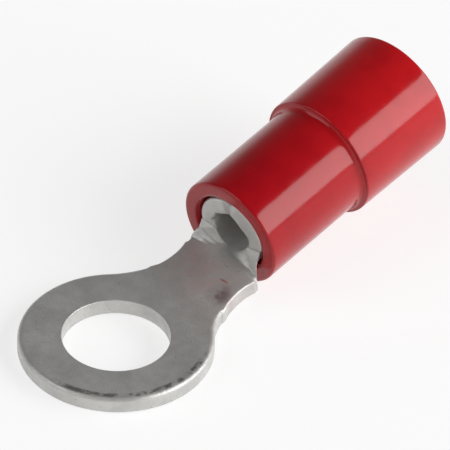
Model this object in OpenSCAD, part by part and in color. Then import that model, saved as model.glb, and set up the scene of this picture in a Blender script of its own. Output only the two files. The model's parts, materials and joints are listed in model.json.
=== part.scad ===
// Insulated ring terminal for a crimped wire.
// A ring, its neck and a rolled wire barrel are one tin-plated copper blank.
// A stepped PVC sleeve is pushed over the barrel and reaches back over the wire's insulation.
//
// The origin is the centre of the stud hole on the tongue's underside.
// +Z goes up through the hole, and +X runs from the ring towards the wire entry.

/* [Tongue] */
// Diameter of the stud hole
stud_hole_d = 4.3; // [3.2:0.1:5.3]
// Outside diameter of the ring
ring_d = 7.8; // [7:0.1:9]
// Thickness of the sheet that the blank is stamped from
sheet_t = 0.7; // [0.5:0.05:0.9]
// Radius of the top edge, which the punch rolls over when it stamps the blank
edge_roll = 0.15; // [0.05:0.01:0.2]
// Width of the neck where it is narrowest
neck_w = 3.5; // [2.6:0.02:4]
// Distance from the stud centre to the narrowest place of the neck
neck_at = 5.4; // [4.8:0.1:5.6]

/* [Neck] */
// Angle by which the neck lifts the barrel out of the tongue's plane
lift_angle = 7.8; // [2:0.2:12]
// Distance from the stud centre to the start of the lifting bend
bend_at = 3.9; // [3.7:0.1:4.2]
// Length of sheet that the bend takes up
bend_len = 0.8; // [0.4:0.1:1]
// Length of sheet from the end of the bend to the barrel's front face
rise_len = 2.28; // [1.8:0.02:3]
// Share of the barrel's circle that the neck runs into, in degrees
root_angle = 176; // [140:2:200]
// How late the flat sheet curls up to meet the barrel
curl_power = 7; // [3:1:9]

/* [Barrel] */
// Outside diameter of the rolled barrel
barrel_d = 3.2; // [2.8:0.1:3.6]
// Length of the barrel
barrel_len = 5; // [4:0.1:7]
// Width of the butted seam along the top of the barrel
seam_gap = 0.06; // [0.04:0.02:0.2]
// Number of gripping grooves inside the barrel
groove_count = 3; // [1:1:4]
// Width of a gripping groove
groove_w = 0.4; // [0.2:0.05:0.5]
// Depth of a gripping groove
groove_depth = 0.1; // [0.05:0.01:0.15]

/* [Sleeve] */
// Radial clearance between the barrel and the sleeve
sleeve_fit = 0.02; // [0.01:0.01:0.05]
// Wall of the sleeve over the barrel
sleeve_wall = 0.765; // [0.5:0.005:1]
// Length by which the sleeve's front stands ahead of the barrel's front face
sleeve_ahead = 0.1; // [0:0.01:0.2]
// Length of the narrow part that reaches past the barrel's rear end
sleeve_past = 0.03; // [0:0.01:0.5]
// Length of the wide wire entry behind the step
entry_len = 5.07; // [3:0.01:8]
// Bore of the wire entry, for the insulated wire
entry_bore_d = 4; // [3.4:0.1:4.6]
// Height of the step from the narrow part up to the wire entry
step_h = 0.275; // [0.25:0.005:0.5]
// Radial flare of the wire entry towards its rear end
entry_flare = 0.09; // [0:0.01:0.2]
// Length of the cone between the two bores
funnel_len = 0.6; // [0.3:0.1:1.5]
// Radial width of the lead-in around the barrel's mouth
mouth_lead = 0.17; // [0.05:0.01:0.3]
// Depth of the lead-in around the barrel's mouth
mouth_depth = 0.5; // [0.2:0.1:1]
// Rounding of the sleeve's front and rear rims
rim_round = 0.14; // [0.05:0.01:0.25]
// Rounding of the step's outer edge
step_round = 0.08; // [0.02:0.01:0.1]
// Fillet at the foot of the step
step_fillet = 0.16; // [0.02:0.01:0.18]

/* [Hidden] */
$fn = 96;

// Room by which a cut reaches past the face that it opens
past = 1;
// Least share of the neck's length that its curl counts from, which keeps the flat end's radius finite
flattest = 0.15;
// Depth by which the neck lies inside the outlines of the ring and of the barrel, and length
// by which it reaches into the barrel's wall, so that the three are one solid
weld = 0.015;
weld_len = 0.2;
// Stations along the neck, strips across its flat part and strips round each rolled edge
neck_stations = 30;
neck_strips = 14;
roll_strips = 2;
// Points on each rounded corner of the turned sections
corner_points = 5;

ring_r = ring_d / 2;
neck_half = neck_w / 2;
barrel_r = barrel_d / 2;
bore_r = barrel_r - sheet_t;
// Radius of the middle of the sheet in the rolled barrel
roll_r = barrel_r - sheet_t / 2;

// Fillet that touches the ring and runs out level at the narrowest place of the neck
fillet_r = (neck_at^2 + neck_half^2 - ring_r^2) / (2 * (ring_r - neck_half));
fillet_y = neck_half + fillet_r;
// Place where the fillet touches the ring, and where the neck starts inside it
tangent_at = ring_r * neck_at / (ring_r + fillet_r);

// Lengths along the underside of the flat blank, from the stud centre
bend_end = bend_at + bend_len;
face_at = bend_end + rise_len;
// The neck is fully rolled where it enters the sleeve
rolled_at = face_at - sleeve_ahead;
root_half = roll_r * (root_angle / 2) * PI / 180;

// Radius of the bend, and the foot of the barrel's front face
bend_r = bend_len / (lift_angle * PI / 180);
foot = underside(face_at);

// Section of the sleeve: radii, and distances behind the barrel's front face
sleeve_bore_r = barrel_r + sleeve_fit;
sleeve_r = sleeve_bore_r + sleeve_wall;
entry_r = entry_bore_d / 2;
step_r = sleeve_r + step_h;
end_r = step_r + entry_flare;
step_at = barrel_len + sleeve_past;
end_at = step_at + entry_len;

// Angle of the sheet to the tongue's plane, at a length along the blank
function lift(along) = lift_angle * min(max((along - bend_at) / bend_len, 0), 1);

// Place of the underside's centre line in the X-Z plane, at a length along the blank
function underside(along) =
    let (
        turned = lift(along),
        beyond = max(along - bend_end, 0)
    )
    [
        min(along, bend_at) + bend_r * sin(turned) + beyond * cos(lift_angle),
        bend_r * (1 - cos(turned)) + beyond * sin(lift_angle)
    ];

// Half the width of the blank, at a length along it
function half_width(along) =
    along < neck_at
    ? fillet_y - sqrt(fillet_r^2 - (neck_at - along)^2)
    : neck_half + (root_half - neck_half) * min((along - neck_at) / (rolled_at - neck_at), 1)^2;

// Bend of the sheet across the neck, from nearly 0 where it is flat to 1 / roll_r where it is rolled
function curl(along) =
    min(max((along - bend_at) / (rolled_at - bend_at), flattest), 1)^curl_power / roll_r;

// Point of the neck's skin: across runs along the middle of the sheet, height is measured from there
function skin_point(along, across, height) =
    let (
        bend = curl(along),
        turn = across * bend * 180 / PI,
        y = sin(turn) * (1 / bend - height),
        up = sheet_t / 2 + height * cos(turn) + (1 - cos(turn)) / bend,
        foot_point = underside(along),
        pitch = lift(along)
    )
    [foot_point.x - up * sin(pitch), y, foot_point.y + up * cos(pitch)];

// Columns across the neck: distance from its middle, and drop of the top face at the rolled edges
function columns(half) =
    let (flat_half = half - edge_roll, quarter = 90 / roll_strips)
    concat(
        [for (i = [roll_strips:-1:1])
            [-flat_half - edge_roll * sin(i * quarter), edge_roll * (1 - cos(i * quarter))]],
        [for (i = [0:neck_strips]) [flat_half * (2 * i / neck_strips - 1), 0]],
        [for (i = [1:roll_strips])
            [flat_half + edge_roll * sin(i * quarter), edge_roll * (1 - cos(i * quarter))]]
    );

// Ring of points around one section of the neck: along the top, then back along the underside
function neck_section(along) =
    let (side = sheet_t / 2 - weld, across = columns(half_width(along) - weld))
    concat(
        [for (column = across) skin_point(along, column[0], side - column[1])],
        [for (column = across) skin_point(along, -column[0], -side)]
    );

// Points of a rounded corner: centre, radius, and the angles where it starts and ends
function corner(centre, radius, from, to) =
    [for (i = [0:corner_points - 1])
        let (a = from + (to - from) * i / (corner_points - 1))
        centre + radius * [cos(a), sin(a)]];

// Puts its children on the barrel's axis, with Z running back from the front face
module on_barrel_axis() {
    translate([foot.x, 0, foot.y])
        rotate([0, -lift_angle, 0])
            translate([0, 0, barrel_r])
                rotate([0, 90, 0])
                    children();
}

// Ring of the tongue, with the rolled top edge
module ring() {
    rotate_extrude()
        polygon(concat(
            [[0, 0], [ring_r, 0]],
            corner([ring_r - edge_roll, sheet_t - edge_roll], edge_roll, 0, 90),
            [[0, sheet_t]]
        ));
}

// Neck: the sheet narrows from the ring, bends up, and curls from flat to the round of the barrel
module neck() {
    strips = neck_strips + 2 * roll_strips;
    section_points = 2 * (strips + 1);
    sections = concat(
        [for (i = [0:neck_stations])
            neck_section(tangent_at + (rolled_at - tangent_at) * i / neck_stations)],
        [neck_section(face_at + weld_len)]
    );
    last = len(sections) - 1;
    skin = [
        for (i = [0:last - 1], j = [0:section_points - 1])
            let (
                a = i * section_points + j,
                b = i * section_points + (j + 1) % section_points
            )
            each [[a, b, a + section_points], [b, b + section_points, a + section_points]]
    ];
    // Each end is closed by strips between the top row and the row underneath
    ends = [
        for (i = [0, last], j = [0:strips - 1])
            let (
                top = i * section_points + j,
                low = i * section_points + section_points - 1 - j,
                strip = [[top, low, top + 1], [top + 1, low, low - 1]]
            )
            each (i == 0 ? strip : [for (face = strip) [face[2], face[1], face[0]]])
    ];
    polyhedron([for (section = sections) each section], concat(skin, ends));
}

// Barrel: the sheet rolled into a tube, with gripping grooves and its seam on top
module barrel() {
    groove_pitch = barrel_len / (groove_count + 1);
    on_barrel_axis()
        difference() {
            cylinder(r = barrel_r, h = barrel_len);
            translate([0, 0, -past])
                cylinder(r = bore_r, h = barrel_len + 2 * past);
            for (i = [1:groove_count])
                translate([0, 0, i * groove_pitch - groove_w / 2])
                    cylinder(r = bore_r + groove_depth, h = groove_w);
            translate([-barrel_r - past, -seam_gap / 2, -past])
                cube([barrel_r + past, seam_gap, barrel_len + 2 * past]);
        }
}

// The whole metal blank
module terminal() {
    color([0.74, 0.73, 0.70]) {
        difference() {
            union() {
                ring();
                neck();
            }
            translate([0, 0, -past])
                cylinder(d = stud_hole_d, h = sheet_t + 2 * past);
        }
        barrel();
    }
}

// Sleeve: one turned section, narrow over the barrel and wide at the wire entry
module insulation_sleeve() {
    color([0.66, 0.05, 0.08])
        on_barrel_axis()
            rotate_extrude()
                polygon(concat(
                    [
                        [sleeve_bore_r, mouth_depth - sleeve_ahead],
                        [sleeve_bore_r + mouth_lead, -sleeve_ahead]
                    ],
                    corner([sleeve_r - rim_round, rim_round - sleeve_ahead], rim_round, -90, 0),
                    corner([sleeve_r + step_fillet, step_at - step_fillet], step_fillet, 180, 90),
                    corner([step_r - step_round, step_at + step_round], step_round, -90, 0),
                    corner([end_r - rim_round, end_at - rim_round], rim_round, 0, 90),
                    [
                        [entry_r, end_at],
                        [entry_r, step_at + funnel_len],
                        [sleeve_bore_r, step_at]
                    ]
                ));
}

terminal();
insulation_sleeve();
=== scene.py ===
import json
import math

import bmesh
import bpy
from mathutils import Matrix, Vector


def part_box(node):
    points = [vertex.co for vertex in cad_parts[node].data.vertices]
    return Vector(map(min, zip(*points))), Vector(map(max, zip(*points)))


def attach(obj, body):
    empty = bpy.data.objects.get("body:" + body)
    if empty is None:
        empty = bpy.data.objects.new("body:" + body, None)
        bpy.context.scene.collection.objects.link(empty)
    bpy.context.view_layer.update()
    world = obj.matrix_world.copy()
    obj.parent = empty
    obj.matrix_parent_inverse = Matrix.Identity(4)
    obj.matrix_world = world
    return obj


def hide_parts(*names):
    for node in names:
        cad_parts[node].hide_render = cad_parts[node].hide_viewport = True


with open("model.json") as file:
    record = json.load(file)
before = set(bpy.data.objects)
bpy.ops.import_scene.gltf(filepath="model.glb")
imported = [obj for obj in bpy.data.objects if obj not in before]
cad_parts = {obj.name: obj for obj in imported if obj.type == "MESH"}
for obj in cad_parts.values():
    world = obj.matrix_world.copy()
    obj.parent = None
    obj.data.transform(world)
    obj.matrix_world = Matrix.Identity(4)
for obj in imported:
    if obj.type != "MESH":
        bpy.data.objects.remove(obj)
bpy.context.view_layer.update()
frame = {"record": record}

# An insulated ring terminal. Lengths inside the mesh code are in millimetres,
# and every finished mesh is scaled to metres. The frame's origin is the centre
# of the stud hole on the tongue's underside, with +X towards the wire entry.
MM = 0.001


# ---------------------------------------------------------------- the frame's own sizes

def mount(name):
    return next(m for m in frame["record"]["mounts"] if m["name"] == name)


STUD = mount("stud_hole")
BARREL = mount("wire_barrel")
ENTRY = mount("insulation_entry")

SHEET_T = STUD["dims"]["length_mm"]
HOLE_R = STUD["dims"]["r_mm"]
RING_R = max(abs(c[1]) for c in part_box("terminal")) / MM
BORE_R = BARREL["dims"]["r_mm"]
BARREL_LEN = BARREL["dims"]["length_mm"]
BARREL_R = BORE_R + SHEET_T
ROLL_R = BORE_R + SHEET_T / 2
ENTRY_R = ENTRY["dims"]["r_mm"]
ENTRY_BORE_LEN = ENTRY["dims"]["length_mm"]

# The barrel's axis: its direction, the direction straight up from it, and its front end
AXIS = Vector(BARREL["axis"]).normalized()
UP = Vector((-AXIS.z, 0, AXIS.x))
ACROSS = Vector((0, 1, 0))
MOUTH = Vector(BARREL["pos_m"]) / MM - AXIS * BARREL_LEN / 2
LIFT = math.atan2(AXIS.z, AXIS.x)
SLEEVE_LEN = (Vector(ENTRY["pos_m"]) / MM - MOUTH).dot(AXIS) + ENTRY_BORE_LEN / 2


# ---------------------------------------------------------------- small helpers

def clamp(value, low=0.0, high=1.0):
    return max(low, min(high, value))


def smooth(value):
    value = clamp(value)
    return value * value * (3 - 2 * value)


def blend(a, b, share):
    return a + (b - a) * share


def new_object(name, verts, faces, material):
    """A mesh object from points in millimetres, shaded smooth, with one material."""
    mesh = bpy.data.meshes.new(name)
    mesh.from_pydata([tuple(Vector(v) * MM) for v in verts], [], faces)
    mesh.validate()
    mesh.update()
    made = bmesh.new()
    made.from_mesh(mesh)
    bmesh.ops.recalc_face_normals(made, faces=made.faces)
    made.to_mesh(mesh)
    made.free()
    mesh.shade_smooth()
    mesh.materials.append(material)
    obj = bpy.data.objects.new(name, mesh)
    bpy.context.collection.objects.link(obj)
    return obj


# ---------------------------------------------------------------- the metal blank

# Outline of the flat blank
NECK_HALF = 1.75
NECK_AT = 5.4
WING_HALF = 1.88
ROOT_HALF = ROLL_R * math.pi / 2
FILLET_R = (NECK_AT**2 + NECK_HALF**2 - RING_R**2) / (2 * (RING_R - NECK_HALF))
FILLET_Y = NECK_HALF + FILLET_R
TANGENT = math.atan2(FILLET_Y, NECK_AT)
NECK_SHIFT = -0.1

# Bends of the blank, as lengths along it from the stud centre
BEND_AT = 3.9
BEND_LEN = 0.8
BEND_R = BEND_LEN / LIFT
BEND_END = BEND_AT + BEND_LEN
FOOT = MOUTH - UP * BARREL_R
BENT = Vector((BEND_AT + BEND_R * math.sin(LIFT), 0, BEND_R * (1 - math.cos(LIFT))))
FACE_AT = BEND_END + (FOOT - BENT).length
WING_AT = FACE_AT - 0.78

# The cheeks start to curl a little ahead of the wings; half the width that stays flat until then
CURL_LEAD = 0.15
FLAT_IN = 1.25
FLAT_OUT = 1.3

# Length of barrel over which the sheared roots even out, and over which the pointed mouth fades
SHEAR_LEN = 1.2
ARCH_FROM = 0.4
ARCH_LEN = 1.6

# Where the cheeks' torn edges run: distance ahead of the barrel's face, distance to the side and
# height above the flat sheet, for the inner and the outer skin, from the wing's corner to the barrel
ROOT_IN = math.radians(70)
ROOT_OUT = math.radians(85)
CHEEKS = {
    -1: {
        "inner": ((0.95, 1.8, 0.0), (0.68, 1.7, -0.08), (0.48, 1.36, -0.02), (0.35, 1.16, 0.1),
                  (0.22, 1.02, 0.3), (0.1, 0.93, 0.5)),
        "outer": ((0.95, 1.85, 0.6), (0.68, 1.84, 0.6), (0.6, 1.77, 0.72), (0.48, 1.67, 0.98),
                  (0.36, 1.62, 1.2), (0.22, 1.61, 1.3)),
    },
    1: {
        "inner": ((0.95, 1.8, 0.0), (0.55, 1.76, 0.04), (0.39, 1.6, 0.2), (0.18, 1.42, 0.43),
                  (0.09, 1.18, 0.54)),
        "outer": ((0.95, 1.85, 0.6), (0.6, 1.84, 0.65), (0.5, 1.8, 0.78), (0.38, 1.72, 0.96),
                  (0.22, 1.62, 1.05), (0.1, 1.6, 1.25)),
    },
}

SEAM_HALF = 0.03
SEAM_V = math.pi * ROLL_R - SEAM_HALF

# Rounded edges: how far the flat faces stop short of the outline
RIM_INSET = 0.24
HOLE_INSET = 0.06
PROFILE_STEPS = 6
RING_TOP_R = 0.2
NECK_TOP_R = 0.1
CRISP_FROM = 3.2
CRISP_LEN = 1.5
UNDER_R = 0.1
HOLE_TOP_R = 0.04
HOLE_UNDER_R = 0.05

# Mesh density
RING_STEPS = 420
RING_ROWS = 22
RIM_CROWDING = 0.12
NECK_COLUMNS = 72
NECK_ROWS = 90
BARREL_ROWS = 60
SIDE_COLUMNS = 36


def outline_half(s):
    """Half the width of the blank at a length s along it, from the ring's tangent on."""
    if s < NECK_AT:
        return FILLET_Y - math.sqrt(FILLET_R**2 - (NECK_AT - s) ** 2)
    if s < WING_AT:
        return blend(NECK_HALF, WING_HALF, ((s - NECK_AT) / (WING_AT - NECK_AT)) ** 2)
    return blend(WING_HALF, ROOT_HALF, clamp((s - WING_AT) / (FACE_AT - WING_AT)))


def centre_line(s):
    """Point of the underside's centre line, and the sheet's normal there."""
    turned = LIFT * clamp((s - BEND_AT) / BEND_LEN)
    beyond = max(s - BEND_END, 0)
    point = Vector((
        min(s, BEND_AT) + BEND_R * math.sin(turned) + beyond * AXIS.x,
        0,
        BEND_R * (1 - math.cos(turned)) + beyond * AXIS.z,
    ))
    return point, Vector((-math.sin(turned), 0, math.cos(turned)))


def torn_edge(side, skin, ahead):
    """How far to the side and how high a cheek's torn edge runs, ahead of the barrel's face."""
    if skin == "inner":
        root = (0.0, BORE_R * math.sin(ROOT_IN), BORE_R * (1 - math.cos(ROOT_IN)))
    else:
        root = (0.0, BARREL_R * math.sin(ROOT_OUT), BARREL_R * (1 - math.cos(ROOT_OUT)))
    knots = CHEEKS[side][skin] + (root,)
    for a, b in zip(knots, knots[1:]):
        if ahead >= b[0]:
            share = smooth((a[0] - ahead) / (a[0] - b[0]))
            return blend(a[1], b[1], share), blend(a[2], b[2], share)
    return root[1], root[2]


def skin_curve(flat, wide, high, share):
    """Place on a section that runs flat and then bends up in an arc to its torn edge."""
    if abs(high) < 1e-4:
        return wide * share, 0.0
    reach = wide - flat
    radius = (reach**2 + high**2) / (2 * high)
    turn = 2 * math.atan2(high, reach)
    total = flat + radius * turn
    along = share * total
    if along <= flat:
        return along, 0.0
    part = (along - flat) / radius
    return flat + radius * math.sin(part), radius * (1 - math.cos(part))


def barrel_turn(v, beyond, height):
    """Angle round the barrel, from its foot: the roots of the cheeks turn less on the inner skin."""
    even = v / ROLL_R
    root = blend(ROOT_OUT, ROOT_IN, height + 0.5)
    size = abs(even)
    quarter = math.pi / 2
    if size < quarter:
        sheared = size / quarter * root
    else:
        sheared = blend(root, math.pi, (size - quarter) / quarter)
    return math.copysign(blend(sheared, size, smooth(beyond / SHEAR_LEN)), v)


def bore_form(turn, beyond):
    """How far the bore's wall stands in at the mouth, where the rolled edges meet in a pointed arch."""
    from_seam = math.pi - abs(turn)
    depth = 0.2 if turn < 0 else 0.09
    arch = depth * math.sin(clamp(from_seam / math.radians(84)) * math.pi) ** 1.3
    return arch * (1 - smooth((beyond - ARCH_FROM) / ARCH_LEN))


def formed(s, v, height):
    """Place of a point of the flat blank once it is bent, curled and rolled.

    s runs along the blank, v across it, and height from -0.5 on the underside to 0.5 on top."""
    base, normal = centre_line(s)
    # The tolerance keeps points that lie on the barrel's face from counting as the neck's
    if s > FACE_AT - 1e-4:
        beyond = max(s - FACE_AT, 0.0)
        turn = barrel_turn(v, beyond, height)
        radius = blend(BARREL_R, BORE_R, height + 0.5)
        radius -= bore_form(turn, beyond) * (height + 0.5)
        radius += mouth_tear(turn, beyond) * (height + 0.5)
        return base + normal * (BARREL_R - radius * math.cos(turn)) + ACROSS * radius * math.sin(turn)
    shift = NECK_SHIFT * smooth((s - 3) / 2) * (1 - smooth((s - WING_AT) / (FACE_AT - WING_AT)))
    lift = (height + 0.5) * SHEET_T
    ahead = FACE_AT - s
    curl_at = WING_AT - CURL_LEAD
    if s <= curl_at:
        return base + ACROSS * (v + shift) + normal * lift
    side = -1 if v < 0 else 1
    share = min(abs(v) / outline_half(s), 1.05)
    inner_wide, inner_high = torn_edge(side, "inner", ahead)
    outer_wide, outer_high = torn_edge(side, "outer", ahead)
    uncurled = 1 - smooth((s - curl_at) / (FACE_AT - curl_at))
    flat_in = FLAT_IN * uncurled
    flat_out = FLAT_OUT * uncurled
    y_in, z_in = skin_curve(min(flat_in, inner_wide - 0.2), inner_wide, inner_high, share)
    # The outer skin's edge is measured from the underside, and the inner skin's from the top face
    under_high = outer_high - SHEET_T * (1 - smooth((s - WING_AT) / 0.3))
    y_out, z_out = skin_curve(min(flat_out, outer_wide - 0.2), outer_wide, max(under_high, 0.0), share)
    z_in += SHEET_T
    part = height + 0.5
    y = blend(y_out, y_in, part)
    z = blend(z_out, z_in, part)
    entry = smooth((s - curl_at) / CURL_LEAD)
    y = blend(abs(v), y, entry)
    z = blend(lift, z, entry)
    return base + ACROSS * (side * y + shift) + normal * z


def mouth_tear(turn, beyond):
    """How far the inner edge is torn away at the mouth, on the +Y side."""
    depth = 0
    for at, size, width in ((2.2, 0.1, 0.2), (1.65, 0.12, 0.16)):
        depth += size * math.exp(-(((turn - at) / width) ** 2))
    return depth * (1 - smooth(beyond / 0.35))


def top_rounding(s):
    """Radius of the top outer edge: rolled over round the ring, crisper on the neck and barrel."""
    return blend(RING_TOP_R, NECK_TOP_R, smooth((s - CRISP_FROM) / CRISP_LEN))


class FlatMesh:
    """Quads of the flat blank, with points shared where blocks meet."""

    def __init__(self):
        self.points = []
        self.index = {}
        self.quads = []

    def add(self, s, v):
        key = (round(s, 5), round(v, 5))
        if key not in self.index:
            self.index[key] = len(self.points)
            self.points.append((s, v))
        return self.index[key]

    def grid(self, rows):
        """rows: lists of (s, v), all of one length."""
        ids = [[self.add(*p) for p in row] for row in rows]
        for a, b in zip(ids, ids[1:]):
            for i in range(len(a) - 1):
                quad = (a[i], a[i + 1], b[i + 1], b[i])
                if len(set(quad)) == 4:
                    self.quads.append(quad)

    def boundary(self):
        """Loops of boundary points, each in the order of its directed edges."""
        edges = {}
        for quad in self.quads:
            for a, b in zip(quad, quad[1:] + quad[:1]):
                edges[(a, b)] = True
        following = {a: b for (a, b) in edges if (b, a) not in edges}
        loops = []
        while following:
            first = next(iter(following))
            loop = [first]
            step = following.pop(first)
            while step != first:
                loop.append(step)
                step = following.pop(step)
            loops.append(loop)
        return loops


def outer_point(angle):
    """Point of the inset outline of the ring and its fillets, seen from the stud centre at an angle."""
    turn = abs(angle)
    if turn >= TANGENT:
        radius = RING_R - RIM_INSET
        return radius * math.cos(angle), radius * math.sin(angle)
    # The ray meets the fillet's inset arc
    reach = FILLET_R + RIM_INSET
    far = math.hypot(NECK_AT, FILLET_Y)
    off = TANGENT - turn
    distance = far * math.cos(off) - math.sqrt(reach**2 - (far * math.sin(off)) ** 2)
    side = 1 if angle > 0 else -1
    return distance * math.cos(turn), side * distance * math.sin(turn)


def flat_blank():
    """The blank's faces in its own plane, inset by the rounded edges."""
    flat = FlatMesh()
    # Point where the ring's mesh hands over to the neck's
    low, high = 0.1, TANGENT
    for _ in range(50):
        mid = (low + high) / 2
        if outer_point(mid)[0] > BEND_AT:
            low = mid
        else:
            high = mid
    hand = low
    start_half = outer_point(hand)[1]
    inner_r = HOLE_R + HOLE_INSET

    def spoke(inner, outer):
        """Points from the hole to the outline, closer together near the two rims."""
        points = []
        for k in range(RING_ROWS + 1):
            share = k / RING_ROWS
            share -= RIM_CROWDING * math.sin(2 * math.pi * share)
            points.append((blend(inner[0], outer[0], share), blend(inner[1], outer[1], share)))
        return points

    ring = []
    for i in range(RING_STEPS + 1):
        angle = hand + (2 * math.pi - 2 * hand) * i / RING_STEPS
        if angle > math.pi:
            signed = angle - 2 * math.pi
        else:
            signed = angle
        outer = outer_point(signed)
        inner = (inner_r * math.cos(angle), inner_r * math.sin(angle))
        ring.append(spoke(inner, outer))
    flat.grid(ring)
    front = []
    for i in range(NECK_COLUMNS + 1):
        angle = -hand + 2 * hand * i / NECK_COLUMNS
        inner = (inner_r * math.cos(angle), inner_r * math.sin(angle))
        outer = (BEND_AT, start_half * (2 * i / NECK_COLUMNS - 1))
        front.append(spoke(inner, outer))
    flat.grid(front)

    def row(s, half):
        return [(s, half * (2 * i / NECK_COLUMNS - 1)) for i in range(NECK_COLUMNS + 1)]

    corner_s = FACE_AT + RIM_INSET
    corner_half = ROOT_HALF - RIM_INSET
    neck = []
    for j in range(NECK_ROWS + 1):
        share = j / NECK_ROWS
        s = blend(BEND_AT, corner_s, share)
        half = outline_half(min(s, FACE_AT)) - RIM_INSET
        if share < 1 / 6:
            half = blend(start_half, half, smooth(share * 6))
        neck.append(row(s, corner_half if j == NECK_ROWS else half))
    flat.grid([list(reversed(r)) for r in neck])
    barrel_end = FACE_AT + BARREL_LEN - RIM_INSET
    full = []
    for j in range(BARREL_ROWS + 1):
        s = blend(corner_s, barrel_end, j / BARREL_ROWS)
        side = [
            blend(corner_half, SEAM_V - RIM_INSET, i / SIDE_COLUMNS) for i in range(1, SIDE_COLUMNS + 1)
        ]
        right = [(s, -v) for v in reversed(side)]
        left = [(s, v) for v in side]
        full.append(right + row(s, corner_half) + left)
    flat.grid([list(reversed(r)) for r in full])
    return flat


def outward(flat, loop):
    """Outward direction at each point of a loop, longer at corners so that edges stay parallel."""
    count = len(loop)
    out = []
    for i, here in enumerate(loop):
        a = Vector(flat.points[loop[i - 1]])
        b = Vector(flat.points[here])
        c = Vector(flat.points[loop[(i + 1) % count]])
        first = (b - a).normalized()
        second = (c - b).normalized()
        n1 = Vector((first.y, -first.x))
        n2 = Vector((second.y, -second.x))
        both = n1 + n2
        out.append(both / max(both.dot(n1), 0.3))
    return out


def build_terminal(material):
    flat = flat_blank()
    points = []
    faces = []

    def place(s, v, height):
        points.append(formed(s, v, height))
        return len(points) - 1

    top = [place(s, v, 0.5) for s, v in flat.points]
    under = [place(s, v, -0.5) for s, v in flat.points]
    for quad in flat.quads:
        faces.append(tuple(top[i] for i in quad))
        faces.append(tuple(under[i] for i in reversed(quad)))
    for loop in flat.boundary():
        directions = outward(flat, loop)
        is_hole = all(math.hypot(*flat.points[i]) < HOLE_R + HOLE_INSET * 2 for i in loop)
        inset = HOLE_INSET if is_hole else RIM_INSET
        columns = []
        for i, direction in zip(loop, directions):
            s, v = flat.points[i]
            upper = HOLE_TOP_R if is_hole else top_rounding(s)
            lower = HOLE_UNDER_R if is_hole else UNDER_R
            column = [top[i]]
            for radius, edge, inward, steps in (
                (upper, 0.5, -1, range(PROFILE_STEPS + 1)),
                (lower, -0.5, 1, range(PROFILE_STEPS, -1, -1)),
            ):
                for k in steps:
                    turn = math.pi / 2 * k / PROFILE_STEPS
                    reach = inset - radius * (1 - math.sin(turn))
                    height = edge + inward * radius * (1 - math.cos(turn)) / SHEET_T
                    column.append(place(s + direction.x * reach, v + direction.y * reach, height))
            column.append(under[i])
            columns.append(column)
        for a, b in zip(columns, columns[1:] + columns[:1]):
            for k in range(len(a) - 1):
                faces.append((a[k], a[k + 1], b[k + 1], b[k]))
    return new_object("terminal_blank", points, faces, material)


# ---------------------------------------------------------------- the sleeve

FIT = 0.02
SLEEVE_R = 2.385
SLEEVE_FRONT = -0.1
STEP_AT = BARREL_LEN + 0.03
STEP_R = SLEEVE_R + 0.275
END_R = STEP_R + 0.085
SLEEVE_STEPS = 288

# Its rounded edges, the lead-in to its bore, and the fillet and edge of its step
RIM_R = 0.13
BACK_R = 0.13
LEAD = 0.18
LEAD_LEN = 0.6
STEP_FILLET = 0.19
STEP_EDGE = 0.06


def arc(centre, radius, start, end, count=8, stretch=1.0):
    """Points (radius, distance) on an arc, angles in degrees; stretch lengthens it along the axis."""
    points = []
    for i in range(count + 1):
        turn = math.radians(blend(start, end, i / count))
        along = centre[1] + stretch * radius * math.sin(turn)
        points.append((centre[0] + radius * math.cos(turn), along))
    return points


def sleeve_profile():
    """Closed outline of the sleeve's wall, as points (radius, distance) from its front bore round."""
    bore = BARREL_R + FIT
    lead_at = SLEEVE_FRONT + LEAD_LEN
    funnel_at = STEP_AT + 0.6
    profile = [(bore, lead_at)]
    for k in range(1, 7):
        opened = LEAD * (1 - math.cos(k * math.pi / 12)) ** 0.9
        profile.append((bore + opened, SLEEVE_FRONT + LEAD_LEN * (1 - k / 6) ** 1.6))
    for i in range(1, 4):
        profile.append((blend(bore + LEAD, SLEEVE_R - RIM_R, i / 4), SLEEVE_FRONT))
    profile += arc((SLEEVE_R - RIM_R, SLEEVE_FRONT + RIM_R), RIM_R, -90, 0)
    for i in range(1, 12):
        profile.append((SLEEVE_R, blend(SLEEVE_FRONT + RIM_R, STEP_AT - 0.33, i / 12)))
    profile += arc((SLEEVE_R + STEP_FILLET, STEP_AT - STEP_FILLET * 0.2), STEP_FILLET, 180, 90, 8, 1.6)
    edge_at = STEP_AT + STEP_EDGE + STEP_FILLET * 1.4
    profile += arc((STEP_R - STEP_EDGE, edge_at), STEP_EDGE, -90, 0, 6)
    for i in range(1, 14):
        along = blend(STEP_AT + STEP_EDGE, SLEEVE_LEN - BACK_R, i / 14)
        profile.append((blend(STEP_R, END_R, i / 14), along))
    profile += arc((END_R - BACK_R, SLEEVE_LEN - BACK_R), BACK_R, 0, 90, 8)
    for opened, inside in ((0.08, 0.0), (0.02, 0.03), (0.0, 0.1)):
        profile.append((ENTRY_R + opened, SLEEVE_LEN - inside))
    for i in range(1, 8):
        profile.append((ENTRY_R, blend(SLEEVE_LEN - 0.1, funnel_at, i / 7)))
    for i in range(1, 5):
        profile.append((blend(ENTRY_R, bore, i / 4), blend(funnel_at, STEP_AT, i / 4)))
    for i in range(1, 5):
        profile.append((bore, blend(STEP_AT, lead_at, i / 5)))
    return profile


def on_axis(radius, along, turn):
    """Point at a radius from the barrel's axis; turn is measured from straight up, towards -Y."""
    return MOUTH + AXIS * along + UP * radius * math.cos(turn) - ACROSS * radius * math.sin(turn)


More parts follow.
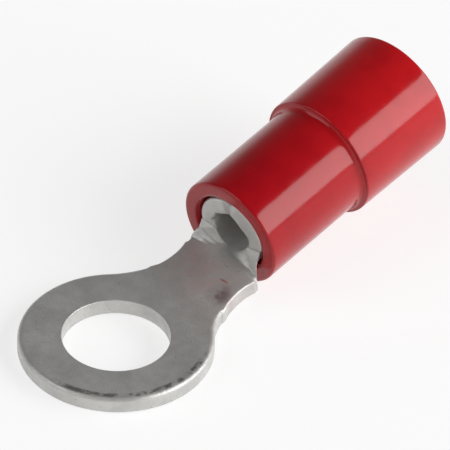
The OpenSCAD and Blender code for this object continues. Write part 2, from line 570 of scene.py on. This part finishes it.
def build_sleeve(material):
    profile = sleeve_profile()
    count = len(profile)
    points = []
    for i in range(SLEEVE_STEPS):
        turn = 2 * math.pi * i / SLEEVE_STEPS
        for radius, along in profile:
            points.append(on_axis(radius, along, turn))
    faces = []
    for i in range(SLEEVE_STEPS):
        a = i * count
        b = (i + 1) % SLEEVE_STEPS * count
        for k in range(count):
            n = (k + 1) % count
            faces.append((a + k, a + n, b + n, b + k))
    return new_object("pvc_sleeve", points, faces, material)


# ---------------------------------------------------------------- materials

# Colours, linear
TIN_PALE = (0.68, 0.675, 0.65)
TIN_DARK = (0.59, 0.585, 0.57)
NECK_STAIN = (0.72, 0.57, 0.54)
CORNER_STAIN = (0.2, 0.12, 0.125)
SPECK = (0.14, 0.12, 0.11)
BURR = (0.13, 0.115, 0.105)
COPPER = (0.5, 0.12, 0.06)
# The sleeve's front red is painted shade where the metal barrel sits inside; its rear red is painted light
# shining through the thin wall
PVC_FRONT_PAINTED_SHADE = (0.45, 0.006, 0.012)
PVC_REAR_PAINTED_BACKLIGHT = (0.6, 0.011, 0.015)
PVC_DEEP = (0.33, 0.004, 0.008)


def nodes_of(name):
    """A new material, its node tree and its shader."""
    material = bpy.data.materials.new(name)
    material.use_nodes = True
    tree = material.node_tree
    return material, tree, tree.nodes["Principled BSDF"]


def in_mm(tree, stretch=(1, 1, 1), origin=(0, 0, 0)):
    """The object's own coordinates in millimetres from an origin, stretched along its axes."""
    coords = tree.nodes.new("ShaderNodeTexCoord")
    mapping = tree.nodes.new("ShaderNodeMapping")
    mapping.inputs["Scale"].default_value = tuple(k / MM for k in stretch)
    mapping.inputs["Location"].default_value = tuple(-k * o for k, o in zip(stretch, origin))
    tree.links.new(coords.outputs["Object"], mapping.inputs["Vector"])
    return mapping.outputs["Vector"]


def grain(tree, per_mm, detail=3.0, stretch=(1, 1, 1)):
    """Noise with a given number of features to the millimetre."""
    texture = tree.nodes.new("ShaderNodeTexNoise")
    texture.inputs["Scale"].default_value = per_mm
    texture.inputs["Detail"].default_value = detail
    tree.links.new(in_mm(tree, stretch), texture.inputs["Vector"])
    return texture.outputs[0]


def ranged(tree, value, low, high, out_low=0.0, out_high=1.0):
    """A value eased from one range to another, and held beyond it."""
    node = tree.nodes.new("ShaderNodeMapRange")
    node.interpolation_type = "SMOOTHSTEP"
    numbers = {"From Min": low, "From Max": high, "To Min": out_low, "To Max": out_high}
    for socket, number in numbers.items():
        node.inputs[socket].default_value = number
    tree.links.new(value, node.inputs["Value"])
    return node.outputs["Result"]


def product(tree, *values):
    """The values multiplied together; each is a socket or a number."""
    result = values[0]
    for value in values[1:]:
        node = tree.nodes.new("ShaderNodeMath")
        node.operation = "MULTIPLY"
        for socket, item in zip(node.inputs, (result, value)):
            if isinstance(item, (int, float)):
                socket.default_value = item
            else:
                tree.links.new(item, socket)
        result = node.outputs[0]
    return result


def measured(tree, operation, vector, other=None):
    """A number taken from a vector, such as its length or its dot product with another."""
    node = tree.nodes.new("ShaderNodeVectorMath")
    node.operation = operation
    tree.links.new(vector, node.inputs[0])
    if other is not None:
        node.inputs[1].default_value = other
    return node.outputs["Value"]


def spot(tree, centre, core, edge, stretch=(1, 1, 1)):
    """1 within the core's distance of a centre, 0 beyond the edge's."""
    return ranged(tree, measured(tree, "LENGTH", in_mm(tree, stretch, centre)), core, edge, 1.0, 0.0)


def tinted(tree, factor, colour, other):
    """A colour, or a socket of one, taken towards another by a factor."""
    node = tree.nodes.new("ShaderNodeMix")
    node.data_type = "RGBA"
    tree.links.new(factor, node.inputs[0])
    for socket, item in ((node.inputs[6], colour), (node.inputs[7], other)):
        if isinstance(item, tuple):
            socket.default_value = item + (1,)
        else:
            tree.links.new(item, socket)
    return node.outputs[2]


def bumped(tree, shader, height, depth):
    """Relief of a depth in millimetres on the shader's surface."""
    node = tree.nodes.new("ShaderNodeBump")
    node.inputs["Distance"].default_value = depth * MM
    tree.links.new(height, node.inputs["Height"])
    tree.links.new(node.outputs["Normal"], shader.inputs["Normal"])


def tin_plate():
    """Matte tin plate: mottled, speckled, stained over the neck, with a burr line inside the ring's edge."""
    material, tree, shader = nodes_of("tin_plate")
    shader.inputs["Metallic"].default_value = 0.55
    shader.inputs["Specular IOR Level"].default_value = 0.3
    mottle = ranged(tree, grain(tree, 0.9), 0.35, 0.65)
    colour = tinted(tree, mottle, TIN_PALE, TIN_DARK)
    cloud = ranged(tree, grain(tree, 2.2, 4.0), 0.36, 0.62, 0.25, 1.0)
    neck = spot(tree, (5.0, -0.1, 0), 0.5, 1.7, (1, 0.6, 0.3))
    colour = tinted(tree, product(tree, neck, cloud, 0.5), colour, NECK_STAIN)
    corner = spot(tree, (4.6, -1.35, 0), 0.2, 0.8, (1, 1.1, 0.3))
    colour = tinted(tree, product(tree, corner, cloud, 0.75), colour, CORNER_STAIN)
    specks = ranged(tree, grain(tree, 6.0, 2.0), 0.66, 0.76, 0.0, 0.3)
    colour = tinted(tree, specks, colour, SPECK)
    reach = measured(tree, "LENGTH", in_mm(tree, (1, 1, 0)))
    inside = product(
        tree,
        ranged(tree, reach, RING_R - 0.42, RING_R - 0.3),
        ranged(tree, reach, RING_R - 0.2, RING_R - 0.1, 1.0, 0.0),
        ranged(tree, measured(tree, "DOT_PRODUCT", in_mm(tree), (-0.5, -0.87, 0)), 1.6, 2.6),
        ranged(tree, grain(tree, 3.5, 4.0), 0.42, 0.58, 0.1, 0.8),
    )
    colour = tinted(tree, inside, colour, BURR)
    scratch = spot(tree, (5.28, -0.98, 0), 0.12, 0.3, (4.0, 1.0, 0.1))
    colour = tinted(tree, product(tree, scratch, 0.75), colour, COPPER)
    tree.links.new(colour, shader.inputs["Base Color"])
    tree.links.new(ranged(tree, grain(tree, 3.0), 0.3, 0.7, 0.38, 0.52), shader.inputs["Roughness"])
    bumped(tree, shader, grain(tree, 9.0, 4.0), 0.012)
    return material


def red_pvc():
    """Glossy moulded PVC: deeper red over the barrel as painted shade, lighter towards the thin rear as
    painted light shining through, with faint rubbing.
    """
    material, tree, shader = nodes_of("red_pvc")
    shader.inputs["IOR"].default_value = 1.5
    shader.inputs["Specular IOR Level"].default_value = 0.42
    along = measured(tree, "DOT_PRODUCT", in_mm(tree, (1, 1, 1), tuple(MOUTH)), tuple(AXIS))
    # Painted light and shade along the sleeve: darker red in front over the barrel, lighter red towards the
    # rear
    colour = tinted(tree, ranged(tree, along, 1.0, SLEEVE_LEN), PVC_FRONT_PAINTED_SHADE, PVC_REAR_PAINTED_BACKLIGHT)
    colour = tinted(tree, ranged(tree, grain(tree, 0.8), 0.4, 0.7, 0.0, 0.3), colour, PVC_DEEP)
    tree.links.new(colour, shader.inputs["Base Color"])
    rubbed = product(
        tree,
        ranged(tree, grain(tree, 1.0, 3.0, (0.5, 7.0, 7.0)), 0.62, 0.72),
        ranged(tree, grain(tree, 0.6), 0.5, 0.62),
    )
    rough = tree.nodes.new("ShaderNodeMath")
    rough.operation = "ADD"
    tree.links.new(ranged(tree, grain(tree, 1.5), 0.3, 0.7, 0.115, 0.16), rough.inputs[0])
    tree.links.new(product(tree, rubbed, 0.15), rough.inputs[1])
    tree.links.new(rough.outputs[0], shader.inputs["Roughness"])
    bumped(tree, shader, grain(tree, 1.3, 2.0), 0.004)
    return material


# ---------------------------------------------------------------- stage, light and camera

FLOOR_SIZE = 1.0
FLOOR_DIFFUSE = (0.85, 0.85, 0.85, 1)
FLOOR_SEEN = (0.4, 0.4, 0.4, 1)
FLOOR_GLOW = 0.72
FLOOR_GAP = 0.00001

# The world's brightness by height, from the horizon to straight up
SKY = ((0.0, 0.9), (0.13, 0.6), (0.27, 0.3), (0.42, 0.17), (0.6, 0.1), (0.8, 0.04), (1.0, 0.02))

# The camera at the photo's viewing angle: the point it looks at and its distance from it, in
# millimetres, and the direction it looks in and its roll, in degrees
CAMERA_AIM = (6.857, 0.415, 2.0)
CAMERA_DISTANCE = 279.18
CAMERA_AZIMUTH = 40.58
CAMERA_ELEVATION = -39.271
CAMERA_ROLL = 1.825


def build_floor():
    """A pale floor, tilted by the small angle at which the terminal rests on its ring and sleeve."""
    tip = Vector((-RING_R, 0, 0))
    low = on_axis(SLEEVE_R, 0.15, math.pi)
    slope = math.atan2(low.z - tip.z, low.x - tip.x)
    mesh = bpy.data.meshes.new("floor")
    turn = Matrix.Rotation(-slope, 4, "Y")
    corners = [Vector((x, y, 0)) * FLOOR_SIZE for x, y in ((-1, -1), (1, -1), (1, 1), (-1, 1))]
    base = Vector((tip.x * MM, 0, -FLOOR_GAP))
    mesh.from_pydata([tuple(turn @ c + base) for c in corners], [], [(0, 1, 2, 3)])
    floor = bpy.data.objects.new("floor", mesh)
    bpy.context.collection.objects.link(floor)
    material = bpy.data.materials.new("floor_white")
    material.use_nodes = True
    tree = material.node_tree
    tree.nodes.clear()
    out = tree.nodes.new("ShaderNodeOutputMaterial")
    diffuse = tree.nodes.new("ShaderNodeBsdfDiffuse")
    diffuse.inputs["Color"].default_value = FLOOR_DIFFUSE
    seen = tree.nodes.new("ShaderNodeBsdfDiffuse")
    seen.inputs["Color"].default_value = FLOOR_SEEN
    glow = tree.nodes.new("ShaderNodeEmission")
    glow.inputs["Strength"].default_value = FLOOR_GLOW
    add = tree.nodes.new("ShaderNodeAddShader")
    mix = tree.nodes.new("ShaderNodeMixShader")
    path = tree.nodes.new("ShaderNodeLightPath")
    either = tree.nodes.new("ShaderNodeMath")
    either.operation = "MAXIMUM"
    either2 = tree.nodes.new("ShaderNodeMath")
    either2.operation = "MAXIMUM"
    link = tree.links.new
    link(path.outputs["Is Camera Ray"], either.inputs[0])
    link(path.outputs["Is Glossy Ray"], either.inputs[1])
    link(either.outputs[0], either2.inputs[0])
    link(path.outputs["Is Transmission Ray"], either2.inputs[1])
    link(seen.outputs[0], add.inputs[0])
    link(glow.outputs[0], add.inputs[1])
    link(either2.outputs[0], mix.inputs[0])
    link(diffuse.outputs[0], mix.inputs[1])
    link(add.outputs[0], mix.inputs[2])
    link(mix.outputs[0], out.inputs["Surface"])
    mesh.materials.append(material)
    return floor


def build_world():
    """A white background for the camera, and a sky that darkens towards the top for all else."""
    world = bpy.data.worlds.new("studio")
    bpy.context.scene.world = world
    world.use_nodes = True
    tree = world.node_tree
    tree.nodes.clear()
    out = tree.nodes.new("ShaderNodeOutputWorld")
    back = tree.nodes.new("ShaderNodeBackground")
    coords = tree.nodes.new("ShaderNodeTexCoord")
    split = tree.nodes.new("ShaderNodeSeparateXYZ")
    ramp = tree.nodes.new("ShaderNodeValToRGB")
    link = tree.links.new
    link(coords.outputs["Generated"], split.inputs[0])
    link(split.outputs["Z"], ramp.inputs["Fac"])
    ramp.color_ramp.elements[0].position = 0.0
    ramp.color_ramp.elements[1].position = 1.0
    for position, _ in SKY[1:-1]:
        ramp.color_ramp.elements.new(position)
    for element, (position, level) in zip(ramp.color_ramp.elements, SKY):
        element.position = position
        element.color = (level, level, level, 1)
    link(ramp.outputs[0], back.inputs["Color"])
    white = tree.nodes.new("ShaderNodeBackground")
    white.inputs["Strength"].default_value = 1.0
    path = tree.nodes.new("ShaderNodeLightPath")
    mix = tree.nodes.new("ShaderNodeMixShader")
    link(path.outputs["Is Camera Ray"], mix.inputs[0])
    link(back.outputs[0], mix.inputs[1])
    link(white.outputs[0], mix.inputs[2])
    link(mix.outputs[0], out.inputs["Surface"])


def softbox(name, azimuth, elevation, distance, width, height, radiance):
    """A rectangular lamp that looks at the object from a direction given in degrees."""
    a = math.radians(azimuth)
    e = math.radians(elevation)
    direction = Vector((math.cos(e) * math.cos(a), math.cos(e) * math.sin(a), math.sin(e)))
    target = Vector((0.006, 0, 0.001))
    lamp = bpy.data.lights.new(name, "AREA")
    lamp.shape = "RECTANGLE"
    lamp.size = width
    lamp.size_y = height
    lamp.energy = radiance * math.pi * width * height
    obj = bpy.data.objects.new(name, lamp)
    obj.location = target + direction * distance
    obj.rotation_euler = direction.to_track_quat("Z", "Y").to_euler()
    bpy.context.collection.objects.link(obj)
    return obj


def build_lights():
    softbox("key", -60, 26, 0.5, 0.6, 0.33, 4.0)
    softbox("fill", 150, 40, 0.5, 0.4, 0.3, 1.5)


def build_camera():
    """A long lens from where the photo was taken."""
    data = bpy.data.cameras.new("camera")
    data.sensor_width = 36.0
    data.lens = 560.0
    data.clip_start = 0.01
    data.clip_end = 10.0
    camera = bpy.data.objects.new("camera", data)
    a = math.radians(CAMERA_AZIMUTH)
    e = math.radians(CAMERA_ELEVATION)
    forward = Vector((math.cos(e) * math.cos(a), math.cos(e) * math.sin(a), math.sin(e)))
    level = Vector((math.sin(a), -math.cos(a), 0))
    roll = math.radians(CAMERA_ROLL)
    right = level * math.cos(roll) + level.cross(forward) * math.sin(roll)
    turn = Matrix((right, right.cross(forward), -forward)).transposed()
    place = (Vector(CAMERA_AIM) - forward * CAMERA_DISTANCE) * MM
    camera.matrix_world = Matrix.Translation(place) @ turn.to_4x4()
    bpy.context.collection.objects.link(camera)
    bpy.context.scene.camera = camera


# ---------------------------------------------------------------- put together

bpy.context.scene.view_settings.view_transform = "Standard"
metal = tin_plate()
plastic = red_pvc()

blank = build_terminal(metal)
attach(blank, "root")
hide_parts("terminal")

sleeve = build_sleeve(plastic)
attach(sleeve, "root")
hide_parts("insulation_sleeve")

build_floor()
build_world()
build_lights()
build_camera()
